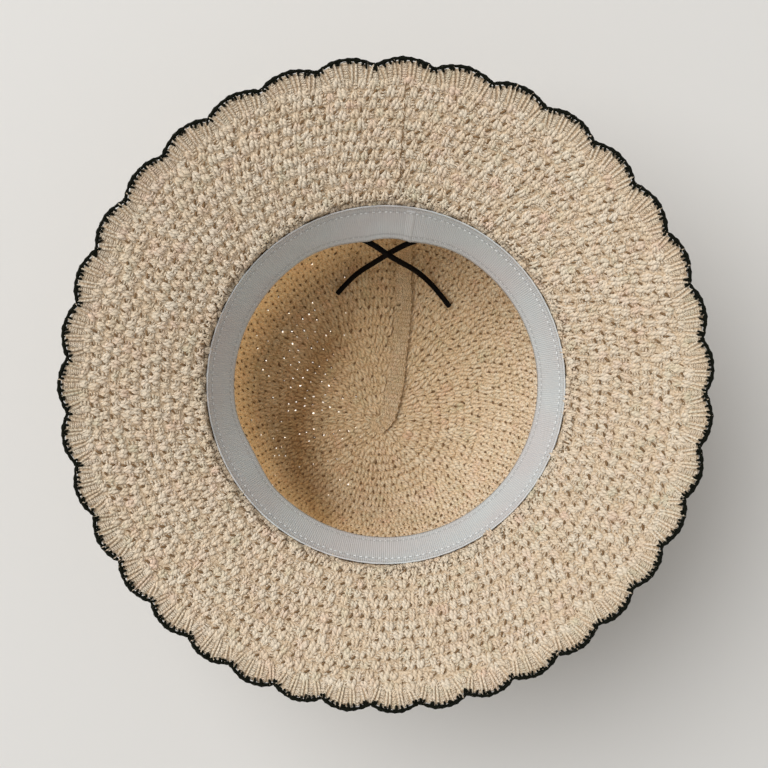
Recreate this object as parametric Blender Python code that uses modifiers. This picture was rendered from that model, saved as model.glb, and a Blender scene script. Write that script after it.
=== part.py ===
# Knit bucket hat, lying mouth up on its flattened crown, so the brim opens upwards.
# Metres, +Z up. The back of the hat, with the seams and the drawcord's ends, is towards +Y.
# A turn is an angle about the hat's axis, clockwise from the back as seen from above.
import math
from collections import namedtuple

import bmesh
import bpy
from mathutils import Vector
from mathutils.bvhtree import BVHTree

# Knit
HEAD_RADIUS = 0.0920  # inside of the knit, where the sweatband is sewn on
KNIT_WALL = 0.0025
CLEARANCE = 0.0003  # between pieces that touch

# Crown
CROWN_DEPTH = 0.105  # from the flattened top to the line where brim and sweatband are sewn on
REST_RADIUS = 0.048  # of the flattened top, on the mean
TIP_SIDE = -0.0035  # where the rounds of knitting close, off the hat's axis
TIP_BACK = -0.0235
CROWN_COLUMNS = 60
WALL_BANDS = 8

# Brim
BRIM_REACH = 0.064  # from the crown's outside to the tips of the scallops, seen along the axis
BRIM_RISE = 0.030
SCALLOP_COUNT = 37
SCALLOP_DEPTH = 0.0039
SCALLOP_CUP = 0.0012  # how far the middle of a scallop stands above its notches
SCALLOP_COLUMNS = 6
FIRST_NOTCH = math.radians(-1.7)
STITCH_DRIFT = 0.10  # widens the scallops at the back and narrows them at the front

# Crocheted edging
EDGING_WIDTH = 0.0024
EDGING_HEIGHT = 0.0032
EDGING_OUTER_SHARE = 0.68  # its height on the outer side, as a share of EDGING_HEIGHT

# Sweatband
RIBBON_WIDTH = 0.030
RIBBON_THICKNESS = 0.0008
RIBBON_LIP = 0.0012  # how far its sewn edge stands above the sewn line
EXIT_LIFT = 0.0024  # the free edge is higher between the two ends of the drawcord
JOINT_WIDTH = 0.0055
JOINT_TURN = math.radians(9.5)
JOINT_COLUMNS = 2

# Seam allowance inside the crown
SEAM_WIDTH = 0.010
SEAM_THICKNESS = 0.0014
SEAM_OFFSET = 0.0105  # of its centre line from the middle of the hat's back
SEAM_TOP = 0.72  # how far up the wall it shows, as a share of the climb
SEAM_EDGE = 0.5  # where it passes the flat top's edge, as a share of its stations
SEAM_BEND = 0.42  # how it curves on the flat top: 1 is straight, less turns at the tip
SEAM_STATIONS = 16
SEAM_COLUMNS = 3

# Drawcord
CORD_DIAMETER = 0.003
CORD_HEM = 0.0045  # from the ribbon's free edge to the cord's middle, behind the ribbon
CORD_SPACING = 2  # between the points of its curve, in diameters
CURVE_STEPS = 20  # between two points of a route

WELD = 0.000001

# The crown's cross-sections: how far the flattened top reaches, as a share of REST_RADIUS, and
# how square the turn from the top into the wall is (2 is an ellipse).
CrownSection = namedtuple("CrownSection", "turn_deg rest_share fullness")
CROWN_SECTIONS = [
    CrownSection(0, 0.98, 2.35),
    CrownSection(90, 0.84, 2.15),
    CrownSection(180, 1.14, 2.55),
    CrownSection(270, 1.06, 2.80),
]

# Soft slumps in the crown's wall: depth as a share of KNIT_WALL, inwards where positive.
CrownSlump = namedtuple("CrownSlump", "turn_deg climb reach_deg climb_reach depth_share")
CROWN_SLUMPS = [
    CrownSlump(312, 0.34, 26, 0.22, 1.30),
    CrownSlump(248, 0.40, 22, 0.24, 0.80),
    CrownSlump(118, 0.45, 34, 0.26, -0.70),
    CrownSlump(40, 0.36, 20, 0.20, 0.55),
]

# The brim from the crown to the edge, as shares of BRIM_REACH, BRIM_RISE and the scallops.
BrimRow = namedtuple("BrimRow", "reach_share rise_share scallop_share")
BRIM_ROWS = [
    BrimRow(0.000, 0.00, 0.00),
    BrimRow(0.004, 0.13, 0.00),
    BrimRow(0.330, 0.46, 0.00),
    BrimRow(0.680, 0.76, 0.06),
    BrimRow(0.860, 0.89, 0.40),
    BrimRow(1.000, 1.00, 1.00),
]

# The sweatband from its free edge up to its sewn edge, as shares of its drop and of its lean.
RibbonRow = namedtuple("RibbonRow", "drop_share lean_share")
RIBBON_ROWS = [
    RibbonRow(1.00, 1.00),
    RibbonRow(0.56, 0.48),
    RibbonRow(0.11, 0.00),
    RibbonRow(0.00, 0.00),
]

# How far the sweatband's free edge leans in, as a share of RIBBON_WIDTH.
RibbonLean = namedtuple("RibbonLean", "turn_deg lean_share")
RIBBON_LEANS = [
    RibbonLean(0, 0.505),
    RibbonLean(34, 0.385),
    RibbonLean(90, 0.355),
    RibbonLean(180, 0.335),
    RibbonLean(225, 0.345),
    RibbonLean(243, 0.410),
    RibbonLean(262, 0.345),
    RibbonLean(325, 0.385),
]

# The free edge of the ribbon is lifted between these turns.
EXIT_LEFT = math.radians(-6.7)
EXIT_RIGHT = math.radians(9.5)
HEM_LEFT = math.radians(342)  # where the cord in the hem ends, left and right of the back
HEM_RIGHT = math.radians(24)

# The drawcord's free ends, from where they leave the hem to the cut end, lying in the crown.
CORD_END_RIGHT_ROUTE = [
    Vector((-0.0180, 0.0800, 0.0824)),
    Vector((-0.0130, 0.0789, 0.0803)),
    Vector((-0.0088, 0.0764, 0.0775)),
    Vector((0.0005, 0.0700, 0.0680)),
    Vector((0.0094, 0.0672, 0.0460)),
    Vector((0.0200, 0.0635, 0.0200)),
    Vector((0.0284, 0.0563, 0.0108)),
    Vector((0.0343, 0.0494, 0.0091)),
    Vector((0.0370, 0.0454, 0.0080)),
]
CORD_END_LEFT_ROUTE = [
    Vector((0.0268, 0.0788, 0.0822)),
    Vector((0.0210, 0.0792, 0.0803)),
    Vector((0.0165, 0.0775, 0.0779)),
    Vector((0.0115, 0.0753, 0.0740)),
    Vector((0.0058, 0.0735, 0.0640)),
    Vector((0.0005, 0.0717, 0.0500)),
    Vector((-0.0096, 0.0675, 0.0270)),
    Vector((-0.0179, 0.0641, 0.0138)),
    Vector((-0.0238, 0.0581, 0.0088)),
    Vector((-0.0283, 0.0531, 0.0066)),
]

# Colour, roughness and metallic value of each material
KNIT_COLOUR = (0.62, 0.49, 0.34, 1.0)
EDGING_COLOUR = (0.012, 0.012, 0.014, 1.0)
RIBBON_COLOUR = (0.46, 0.47, 0.47, 1.0)
CORD_COLOUR = (0.008, 0.008, 0.009, 1.0)

OUTER_RADIUS = HEAD_RADIUS + KNIT_WALL
CORD_RADIUS = CORD_DIAMETER / 2


def around(turn, radius, height):
    """The point at a turn, a distance from the hat's axis and a height."""
    return Vector((radius * math.sin(turn), radius * math.cos(turn), height))


def between_rows(rows, turn, column):
    """A column of a table of turns, blended softly round the hat."""
    degrees = math.degrees(turn) % 360
    closed = rows + [rows[0]._replace(turn_deg=rows[0].turn_deg + 360)]
    for low, high in zip(closed, closed[1:]):
        if low.turn_deg <= degrees <= high.turn_deg:
            share = (degrees - low.turn_deg) / (high.turn_deg - low.turn_deg)
            blend = (1 - math.cos(math.pi * share)) / 2
            return getattr(low, column) * (1 - blend) + getattr(high, column) * blend


def slump_at(turn, climb):
    """How far the wall caves in at a point of the crown."""
    depth = 0.0
    for slump in CROWN_SLUMPS:
        aside = (math.degrees(turn) - slump.turn_deg + 180) % 360 - 180
        spread = (aside / slump.reach_deg) ** 2 + ((climb - slump.climb) / slump.climb_reach) ** 2
        depth += slump.depth_share * KNIT_WALL * math.exp(-spread)
    return depth


def crown_point(turn, climb):
    """A point outside the crown: climb is 0 at the edge of the flat top and 1 at the sewn line."""
    rest = REST_RADIUS * between_rows(CROWN_SECTIONS, turn, "rest_share")
    power = 2 / between_rows(CROWN_SECTIONS, turn, "fullness")
    angle = climb * math.pi / 2
    rise = CROWN_DEPTH * (1 - math.cos(angle) ** power)
    radius = rest + (OUTER_RADIUS - rest) * math.sin(angle) ** power
    fade = math.sin(math.pi * climb)
    return around(turn, radius - slump_at(turn, climb) * fade, rise)


def scallop_turn(lobe):
    """The turn at a count of scallops from the first notch."""
    even = math.tau * lobe / SCALLOP_COUNT + FIRST_NOTCH
    return even + STITCH_DRIFT * math.sin(even)


def scallop_bulge(lobe):
    """0 in a notch and 1 at the tip of a scallop, along a round arc."""
    across = 2 * (lobe % 1) - 1
    return 1 - across * across


def brim_point(lobe, row):
    """A point on the outside of the brim, which faces down."""
    bulge = scallop_bulge(lobe)
    radius = OUTER_RADIUS + BRIM_REACH * row.reach_share
    radius -= SCALLOP_DEPTH * (1 - bulge) * row.scallop_share
    height = CROWN_DEPTH + CLEARANCE + BRIM_RISE * row.rise_share
    height += SCALLOP_CUP * bulge * row.scallop_share
    return around(scallop_turn(lobe), radius, height)


def ribbon_point(turn, row):
    """A point on the back of the sweatband, which faces the crown's wall."""
    lean = RIBBON_WIDTH * between_rows(RIBBON_LEANS, turn, "lean_share")
    drop = math.sqrt(RIBBON_WIDTH**2 - lean**2)
    side = (turn + math.pi) % math.tau - math.pi
    lift = EXIT_LIFT / RIBBON_WIDTH if EXIT_LEFT < side < EXIT_RIGHT else 0.0
    shown = 1 - lift * row.drop_share
    radius = HEAD_RADIUS - CLEARANCE - lean * row.lean_share * shown
    return around(turn, radius, CROWN_DEPTH + RIBBON_LIP - drop * row.drop_share * shown)


def new_material(name, colour, roughness):
    material = bpy.data.materials.new(name)
    material.use_nodes = True
    shader = material.node_tree.nodes["Principled BSDF"]
    shader.inputs["Base Color"].default_value = colour
    shader.inputs["Roughness"].default_value = roughness
    shader.inputs["Metallic"].default_value = 0.0
    return material


def link_object(name, data, material):
    data.materials.append(material)
    obj = bpy.data.objects.new(name, data)
    hat_collection.objects.link(obj)
    obj.parent = hat_root
    return obj


def wrapped_grid(name, columns, rows, place, material, closed=True):
    """A flat grid with each of its points moved to place(column, row), welded where points meet."""
    mesh = bpy.data.meshes.new(name)
    bm = bmesh.new()
    bmesh.ops.create_grid(bm, x_segments=columns, y_segments=rows, size=0.5)
    for vertex in bm.verts:
        column = round((vertex.co.x + 0.5) * columns)
        row = round((vertex.co.y + 0.5) * rows)
        vertex.co = place(column % columns if closed else column, row)
    bmesh.ops.remove_doubles(bm, verts=bm.verts, dist=WELD)
    bm.to_mesh(mesh)
    bm.free()
    mesh.shade_smooth()
    return link_object(name, mesh, material)


def thicken(obj, thickness):
    """Gives an open surface its wall, on the side that its normals point to."""
    wall = obj.modifiers.new("Wall", "SOLIDIFY")
    wall.thickness = thickness
    wall.offset = 1.0
    wall.use_even_offset = True


def cord_tube(name, points, material):
    """A round cord with flat ends through the points."""
    curve = bpy.data.curves.new(name, "CURVE")
    curve.dimensions = "3D"
    curve.bevel_depth = CORD_RADIUS
    curve.bevel_resolution = 2
    curve.use_fill_caps = True
    spline = curve.splines.new("POLY")
    spline.points.add(len(points) - 1)
    for target, point in zip(spline.points, points):
        target.co = (*point, 1.0)
    return link_object(name, curve, material)


def smooth_route(before, points, spacing):
    """Points at an even spacing along a Catmull-Rom curve that comes from the point before."""
    ends = [before, *points, 2 * points[-1] - points[-2]]
    fine = [points[0]]
    for a, b, c, d in zip(ends, ends[1:], ends[2:], ends[3:]):
        for step in range(1, CURVE_STEPS + 1):
            t = step / CURVE_STEPS
            fine.append(
                0.5 * (2 * b + (c - a) * t + (2 * a - 5 * b + 4 * c - d) * t**2
                       + (3 * b - a - 3 * c + d) * t**3)
            )
    length = sum((q - p).length for p, q in zip(fine, fine[1:]))
    count = max(2, round(length / spacing))
    route, walked, wanted = [fine[0]], 0.0, 1
    for p, q in zip(fine, fine[1:]):
        span = (q - p).length
        while wanted < count and walked + span >= wanted * length / count:
            route.append(p.lerp(q, (wanted * length / count - walked) / span))
            wanted += 1
        walked += span
    return [*route, fine[-1]]


def build_crown(material):
    """The knit shell from the flattened top to the sewn line."""

    def place(column, row):
        if row == 0:
            return Vector((TIP_SIDE, TIP_BACK, 0.0))
        return crown_point(math.tau * column / CROWN_COLUMNS, (row - 1) / WALL_BANDS)

    crown = wrapped_grid("crown", CROWN_COLUMNS, WALL_BANDS + 1, place, material)
    thicken(crown, KNIT_WALL)
    return crown


def build_brim(material):
    """The flared knit brim, with its scalloped edge."""

    def place(column, row):
        return brim_point(column / SCALLOP_COLUMNS, BRIM_ROWS[row])

    columns = SCALLOP_COUNT * SCALLOP_COLUMNS
    brim = wrapped_grid("brim", columns, len(BRIM_ROWS) - 1, place, material)
    thicken(brim, KNIT_WALL)


def build_edging(material):
    """The crocheted cord along the brim's edge: a tube of four sides that follows the scallops."""
    inner, outer = BRIM_ROWS[-2:]
    slope = Vector((BRIM_REACH * (outer.reach_share - inner.reach_share), 0.0,
                    BRIM_RISE * (outer.rise_share - inner.rise_share))).normalized()
    upward = Vector((-slope.z, 0.0, slope.x))
    half = 0.5 * EDGING_OUTER_SHARE
    corners = [(0.0, -0.5), (0.0, 0.5), (1.0, half), (1.0, -half)]

    def place(column, row):
        lobe = column / SCALLOP_COLUMNS
        out_share, up_share = corners[row % len(corners)]
        offset = slope * (CLEARANCE + EDGING_WIDTH * out_share)
        offset += upward * (KNIT_WALL / 2 + EDGING_HEIGHT * up_share)
        return brim_point(lobe, outer) + around(scallop_turn(lobe), offset.x, offset.z)

    columns = SCALLOP_COUNT * SCALLOP_COLUMNS
    wrapped_grid("edging", columns, len(corners), place, material)


def build_sweatband(material):
    """The ribbon sewn round the head opening, leaning in to its free edge."""

    def place(column, row):
        return ribbon_point(math.tau * column / CROWN_COLUMNS, RIBBON_ROWS[row])

    band = wrapped_grid("sweatband", CROWN_COLUMNS, len(RIBBON_ROWS) - 1, place, material)
    thicken(band, RIBBON_THICKNESS)


def build_sweatband_joint(material):
    """The ribbon's folded end, lying over its start at the back."""
    width_turn = JOINT_WIDTH / HEAD_RADIUS

    def place(column, row):
        turn = JOINT_TURN + width_turn * (column / JOINT_COLUMNS - 0.5)
        inward = around(turn, -(RIBBON_THICKNESS + CLEARANCE * 2), 0.0)
        return ribbon_point(turn, RIBBON_ROWS[row]) + inward

    rows = len(RIBBON_ROWS) - 1
    joint = wrapped_grid("sweatband_joint", JOINT_COLUMNS, rows, place, material, closed=False)
    thicken(joint, RIBBON_THICKNESS)


def seam_centre(share):
    """The seam's centre line outside the crown, from 0 at the tip to 1 under the sweatband."""
    if share <= SEAM_EDGE:
        edge = crown_point(0.0, 0.0).y
        along = share / SEAM_EDGE
        aside = TIP_SIDE + (SEAM_OFFSET - TIP_SIDE) * along**SEAM_BEND
        return Vector((aside, TIP_BACK + (edge - TIP_BACK) * along, 0.0))
    climb = SEAM_TOP * (share - SEAM_EDGE) / (1 - SEAM_EDGE)
    radius = crown_point(0.0, climb).y
    return crown_point(math.asin(SEAM_OFFSET / radius), climb)


def build_seam_allowance(crown, material):
    """The pressed edges of the crown's seam: a flat strip laid on the inside of the crown."""
    tree = BVHTree.FromObject(crown, bpy.context.evaluated_depsgraph_get())
    step = 0.16 / SEAM_STATIONS

    def place(column, row):
        share = row / SEAM_STATIONS
        ahead = seam_centre(min(1.0, share + step)) - seam_centre(max(0.0, share - step))
        inward = Vector((0.0, -ahead.z, ahead.y)).normalized()
        aside = ahead.cross(inward).normalized() * SEAM_WIDTH * (column / SEAM_COLUMNS - 0.5)
        inside = seam_centre(share) + aside + inward * (KNIT_WALL + SEAM_THICKNESS)
        spot, normal, _, _ = tree.find_nearest(inside)
        return spot + normal * CLEARANCE

    strip = wrapped_grid("seam_allowance", SEAM_COLUMNS, SEAM_STATIONS, place, material, closed=False)
    thicken(strip, SEAM_THICKNESS)


def build_drawcord(material):
    """The cord in the sweatband's hem, and its two free ends that cross at the back."""
    loop = []
    columns_each_turn = CROWN_COLUMNS / math.tau
    first, final = (round(turn * columns_each_turn) for turn in (HEM_RIGHT, HEM_LEFT))
    for column in range(first, final + 1):
        turn = column / columns_each_turn
        edge = ribbon_point(turn, RIBBON_ROWS[0])
        upward = (ribbon_point(turn, RIBBON_ROWS[1]) - edge).normalized()
        outward = upward.cross(around(turn + math.pi / 2, 1.0, 0.0))
        loop.append(edge + upward * CORD_HEM + outward * (CLEARANCE + CORD_RADIUS))
    cord_tube("drawcord_loop", loop, material)
    free_ends = [
        ("drawcord_end_right", CORD_END_RIGHT_ROUTE, loop[-1], loop[-2]),
        ("drawcord_end_left", CORD_END_LEFT_ROUTE, loop[0], loop[1]),
    ]
    for name, route, last, before in free_ends:
        start = last + (last - before).normalized() * CLEARANCE
        cord_tube(name, smooth_route(before, [start, *route], CORD_DIAMETER * CORD_SPACING), material)


for old in list(bpy.data.objects):
    bpy.data.objects.remove(old)
hat_collection = bpy.data.collections.new("knit_bucket_hat")
bpy.context.scene.collection.children.link(hat_collection)
hat_root = bpy.data.objects.new("knit_bucket_hat_root", None)
hat_collection.objects.link(hat_root)

knit = new_material("straw_knit", KNIT_COLOUR, 0.85)
ribbon = new_material("grosgrain_ribbon", RIBBON_COLOUR, 0.7)

crown_object = build_crown(knit)
build_brim(knit)
build_edging(new_material("black_crochet", EDGING_COLOUR, 0.8))
build_sweatband(ribbon)
build_sweatband_joint(ribbon)
build_seam_allowance(crown_object, knit)
build_drawcord(new_material("black_cord", CORD_COLOUR, 0.75))
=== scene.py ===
import math

import bmesh
import bpy
import numpy as np
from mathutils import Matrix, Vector
from mathutils.bvhtree import BVHTree


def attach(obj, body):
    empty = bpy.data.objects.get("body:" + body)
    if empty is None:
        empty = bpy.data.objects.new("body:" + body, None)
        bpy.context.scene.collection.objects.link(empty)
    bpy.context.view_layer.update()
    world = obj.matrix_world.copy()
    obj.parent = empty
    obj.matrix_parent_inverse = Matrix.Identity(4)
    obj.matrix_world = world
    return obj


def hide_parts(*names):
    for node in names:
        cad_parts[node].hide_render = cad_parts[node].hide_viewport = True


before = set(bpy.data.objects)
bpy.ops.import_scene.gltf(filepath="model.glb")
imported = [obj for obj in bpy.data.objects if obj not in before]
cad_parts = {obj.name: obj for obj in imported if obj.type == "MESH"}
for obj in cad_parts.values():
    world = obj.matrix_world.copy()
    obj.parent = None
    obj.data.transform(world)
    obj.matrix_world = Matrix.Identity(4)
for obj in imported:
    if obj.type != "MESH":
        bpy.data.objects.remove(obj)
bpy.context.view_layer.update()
dice = np.random.default_rng(37)
tau = math.tau

hat = {
    "headRadius": 0.0920,  # inside of the knit, where the sweatband is sewn on
    "wall": 0.0025,
    "clearance": 0.0003,
    "crownDepth": 0.105,
    "restRadius": 0.048,
    "tip": (-0.0035, -0.0235, 0.0),  # where the rounds of the crown close
    "brimReach": 0.064,
    "brimRise": 0.030,
    "scallops": 37,
    "scallopDepth": 0.0039,
    "scallopCup": 0.0012,
    "firstNotch": math.radians(-1.7),
    "stitchDrift": 0.10,
    "brimSeamTurn": math.radians(3.8),
}
outerRadius = hat["headRadius"] + hat["wall"]

crownRest = [(0, 0.98), (90, 0.84), (180, 1.14), (270, 1.06)]  # turn in degrees, share of restRadius
crownFullness = [(0, 2.35), (90, 2.15), (180, 2.55), (270, 2.80)]
crownSlumps = [  # turn in degrees, climb, reach in degrees, reach in climb, depth in walls
    (312, 0.34, 26, 0.22, 1.30),
    (248, 0.40, 22, 0.24, 0.80),
    (118, 0.45, 34, 0.26, -0.70),
    (40, 0.36, 20, 0.20, 0.55),
]
brimProfile = {
    "reach": [0.0, 0.004, 0.33, 0.68, 0.86, 1.0],
    "rise": [0.0, 0.13, 0.46, 0.76, 0.89, 1.0],
    "scallop": [0.0, 0.0, 0.0, 0.06, 0.40, 1.0],
}


# The hat's surfaces


def around(turn, radius, height):
    return np.stack(np.broadcast_arrays(radius * np.sin(turn), radius * np.cos(turn), height), -1)


def blended(rows, turn):
    degrees = np.degrees(turn) % 360
    value = np.zeros_like(degrees)
    for (lowTurn, low), (highTurn, high) in zip(rows, rows[1:] + [(rows[0][0] + 360, rows[0][1])]):
        share = (degrees - lowTurn) / (highTurn - lowTurn)
        inside = (share >= 0) & (share <= 1)
        value = np.where(inside, low + (high - low) * (1 - np.cos(math.pi * share)) / 2, value)
    return value


def crownSide(turn, climb):
    rest = hat["restRadius"] * blended(crownRest, turn)
    power = 2 / blended(crownFullness, turn)
    angle = climb * math.pi / 2
    rise = hat["crownDepth"] * (1 - np.cos(angle) ** power)
    radius = rest + (outerRadius - rest) * np.sin(angle) ** power
    for slumpTurn, slumpClimb, reach, climbReach, depth in crownSlumps:
        aside = (np.degrees(turn) - slumpTurn + 180) % 360 - 180
        near = np.exp(-((aside / reach) ** 2) - ((climb - slumpClimb) / climbReach) ** 2)
        radius = radius - depth * hat["wall"] * near * np.sin(math.pi * climb)
    return around(turn, radius, rise)


def crownSkin(turn, run):
    # run goes from 0 at the tip to 1 at the flat top's edge and 2 at the sewn line
    ring = crownSide(turn, np.clip(run - 1, 0, 1))
    tip = np.array(hat["tip"])
    return tip + (ring - tip) * np.clip(run, 0, 1)[..., None]


def brimSkin(turn, reach):
    even = turn
    for _ in range(4):
        even = turn - hat["stitchDrift"] * np.sin(even)
    lobe = (even - hat["firstNotch"]) * hat["scallops"] / tau
    across = 2 * (lobe % 1) - 1
    bulge = 1 - across * across
    scallop = np.interp(reach, brimProfile["reach"], brimProfile["scallop"])
    radius = outerRadius + hat["brimReach"] * reach - hat["scallopDepth"] * (1 - bulge) * scallop
    height = hat["crownDepth"] + hat["clearance"] + hat["scallopCup"] * bulge * scallop
    height = height + hat["brimRise"] * np.interp(reach, brimProfile["reach"], brimProfile["rise"])
    return around(turn, radius, height)


def lobeTurn(lobe):
    even = tau * lobe / hat["scallops"] + hat["firstNotch"]
    return even + hat["stitchDrift"] * np.sin(even)


def unit(vectors):
    return vectors / np.maximum(np.linalg.norm(vectors, axis=-1, keepdims=True), 1e-12)


def walkedAlong(path):
    return np.concatenate([[0], np.cumsum(np.linalg.norm(np.diff(path, axis=0), axis=1))])


def evenPoints(path, count):
    walked = walkedAlong(path)
    wanted = np.linspace(0, walked[-1], count + 1)
    return np.stack([np.interp(wanted, walked, path[:, axis]) for axis in range(3)], -1)


def framesOn(skin, turn, along, lift=0.0):
    # a place in the middle of the wall, with its directions round the hat, outwards and to the inside
    turn, along = np.broadcast_arrays(np.asarray(turn, float), np.asarray(along, float))
    step = 0.012
    across = unit(skin(turn + step, along) - skin(turn - step, along))
    outward = skin(turn, along + step) - skin(turn, along - step)
    inside = unit(np.cross(across, outward))
    place = skin(turn, along) + inside * (hat["wall"] / 2 + lift)
    return place, np.stack([across, np.cross(inside, across), inside], -2)


# The rounds of the crown lie evenly along its profile from the tip to the sewn line
crownColumns = 120
crownRuns = np.linspace(0, 2, 141)
crownGrid = crownSkin(*np.meshgrid(np.linspace(0, tau, crownColumns + 1), crownRuns, indexing="ij"))
crownLengths = np.stack([walkedAlong(profile) for profile in crownGrid])


def crownRun(turn, share):
    turn, share = np.broadcast_arrays(np.asarray(turn, float) % tau, np.asarray(share, float))
    column = turn / tau * crownColumns
    low = np.floor(column).astype(int) % crownColumns
    blend = column - np.floor(column)
    flat = np.empty(turn.size)
    for spot, (a, b, s) in enumerate(zip(low.ravel(), blend.ravel(), share.ravel())):
        lengths = crownLengths[a] * (1 - b) + crownLengths[a + 1] * b
        flat[spot] = np.interp(s * lengths[-1], lengths, crownRuns)
    return flat.reshape(turn.shape)


# Materials


class Wire:
    # a socket that takes part in sums
    def __init__(self, finish, socket):
        self.finish = finish
        self.socket = socket

    def sum(self, operation, first, second):
        return self.finish.node("ShaderNodeMath", {"operation": operation}, {0: first, 1: second})

    def __add__(self, other):
        return self.sum("ADD", self, other)

    def __radd__(self, other):
        return self.sum("ADD", other, self)

    def __sub__(self, other):
        return self.sum("SUBTRACT", self, other)

    def __rsub__(self, other):
        return self.sum("SUBTRACT", other, self)

    def __mul__(self, other):
        return self.sum("MULTIPLY", self, other)

    def __rmul__(self, other):
        return self.sum("MULTIPLY", other, self)

    def sine(self):
        return self.sum("SINE", self, 0.0)

    def power(self, other):
        return self.sum("POWER", self, other)

    def size(self):
        return self.sum("ABSOLUTE", self, 0.0)

    def over(self, low, high):
        return self.finish.node("ShaderNodeMapRange", {}, {0: self, 1: low, 2: high, 3: 0.0, 4: 1.0})


class Finish:
    # a material whose nodes come from one method
    def __init__(self, name, roughness, metallic=0.0, sheen=0.0):
        self.material = bpy.data.materials.new(name)
        self.material.use_nodes = True
        self.tree = self.material.node_tree
        self.shader = self.tree.nodes["Principled BSDF"]
        self.shader.inputs["Roughness"].default_value = roughness
        self.shader.inputs["Metallic"].default_value = metallic
        self.shader.inputs["Sheen Weight"].default_value = sheen
        self.shader.inputs["Specular IOR Level"].default_value = 0.25

    def node(self, kind, settings, inputs, output=0):
        node = self.tree.nodes.new(kind)
        for key, value in settings.items():
            setattr(node, key, value)
        for key, value in inputs.items():
            self.feed(node.inputs[key], value)
        return Wire(self, node.outputs[output])

    def feed(self, socket, value):
        if isinstance(value, Wire):
            self.tree.links.new(value.socket, socket)
        else:
            socket.default_value = value

    def part(self, vector, axis):
        return self.node("ShaderNodeSeparateXYZ", {}, {0: vector}, axis)

    def attribute(self, name):
        return self.node("ShaderNodeAttribute", {"attribute_name": name}, {}, "Fac")

    def place(self):
        return self.node("ShaderNodeTexCoord", {}, {}, "Object")

    def noise(self, scale, detail=2.0, where=None):
        inputs = {"Vector": where or self.place(), "Scale": scale, "Detail": detail}
        return self.node("ShaderNodeTexNoise", {}, inputs, "Fac")

    def mix(self, factor, first, second):
        return self.node("ShaderNodeMix", {"data_type": "RGBA"}, {0: factor, 6: first, 7: second}, 2)

    def tinted(self, colour, tone):
        settings = {"data_type": "RGBA", "blend_type": "MULTIPLY"}
        return self.node("ShaderNodeMix", settings, {0: 1.0, 6: colour, 7: tone}, 2)

    def shade(self, colour, amount):
        grey = self.node("ShaderNodeCombineColor", {}, {0: amount, 1: amount, 2: amount})
        return self.tinted(colour, grey)

    def bump(self, height, distance, strength=1.0):
        inputs = {"Height": height, "Distance": distance, "Strength": strength}
        return self.node("ShaderNodeBump", {}, inputs)

    def finishWith(self, **sockets):
        for name, value in sockets.items():
            self.feed(self.shader.inputs[name], value)
        return self.material


straw = {
    "sand": (0.755, 0.608, 0.440, 1),
    "blush": (0.775, 0.572, 0.432, 1),
    "cream": (0.810, 0.710, 0.570, 1),
    "sage": (0.665, 0.587, 0.420, 1),
    # painted shade where the sheet shows between stitches
    "gapShade": (0.330, 0.220, 0.120, 1),
    # painted shade in the gaps between stitches
    "holeShade": (0.225, 0.135, 0.065, 1),
    "crownPaintedShading": (1.06, 0.95, 0.75, 1),  # these three paint shade and light on the yarn inside the crown: warm painted shade, painted light on the lit side, painted shade in the fold
    "paintedLitSide": (1.12, 1.11, 1.07, 1),
    "paintedFoldShade": (0.66, 0.50, 0.31, 1),
    "plies": 2,
    "twists": 3.0,  # of the plies, along a stitch
    "plyRelief": 0.00025,
}
daylit = {  # light that comes through the crown's thin knit
    "glow": (0.205, 0.128, 0.054, 1),
    "sides": (0.035, -0.065),  # none to full
    "heights": (0.008, 0.034),  # none where the crown lies on something
    "tops": (0.076, 0.028),  # none behind the ribbon
    "thinPart": ((-0.047, 0.021), (0.002, 0.042)),  # middle and spread, across and ahead
    "pinhole": (1.0, 0.95, 0.85, 1),
    "pinholeStrength": 2.0,
}
crownShadeAndLight = {  # painted shade along a soft fold round the crown's left side, and painted light on the lit side
    "centre": (0.030, -0.030),
    "radius": 0.082,
    "sharpness": 55,  # one over half its width
    "sides": (-0.015, -0.035),
    "opening": (0.7, -0.040, 0.085),  # slope, and where the lighter side starts and is full
}


def daylight(finish, strength):
    # strongest on the side where the lamp shines on the knit from outside
    finish.shader.inputs["Emission Strength"].default_value = strength
    spot = finish.place()
    height = finish.part(spot, "Z")
    there = finish.part(spot, "X").over(*daylit["sides"])
    there = there * height.over(*daylit["heights"]) * height.over(*daylit["tops"])
    finish.feed(finish.shader.inputs["Emission Color"], finish.shade(daylit["glow"], there))


# painted shade and light inside the crown: warm painted shade everywhere, painted light on the side the lamp lights,
# darker painted shade along the fold
def crownPaintedShading(finish):
    spot = finish.place()
    aside, ahead = finish.part(spot, "X") - crownShadeAndLight["centre"][0], finish.part(spot, "Y") - crownShadeAndLight["centre"][1]
    near = 1 - ((aside * aside + ahead * ahead).power(0.5) - crownShadeAndLight["radius"]).size() * crownShadeAndLight["sharpness"]
    near = near.over(0.0, 1.0) * finish.part(spot, "X").over(*crownShadeAndLight["sides"])
    slope, low, high = crownShadeAndLight["opening"]
    lighter = (finish.part(spot, "X") - finish.part(spot, "Y") * slope).over(low, high)
    return finish.mix(near, finish.mix(lighter, straw["crownPaintedShading"], straw["paintedLitSide"]), straw["paintedFoldShade"])


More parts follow.
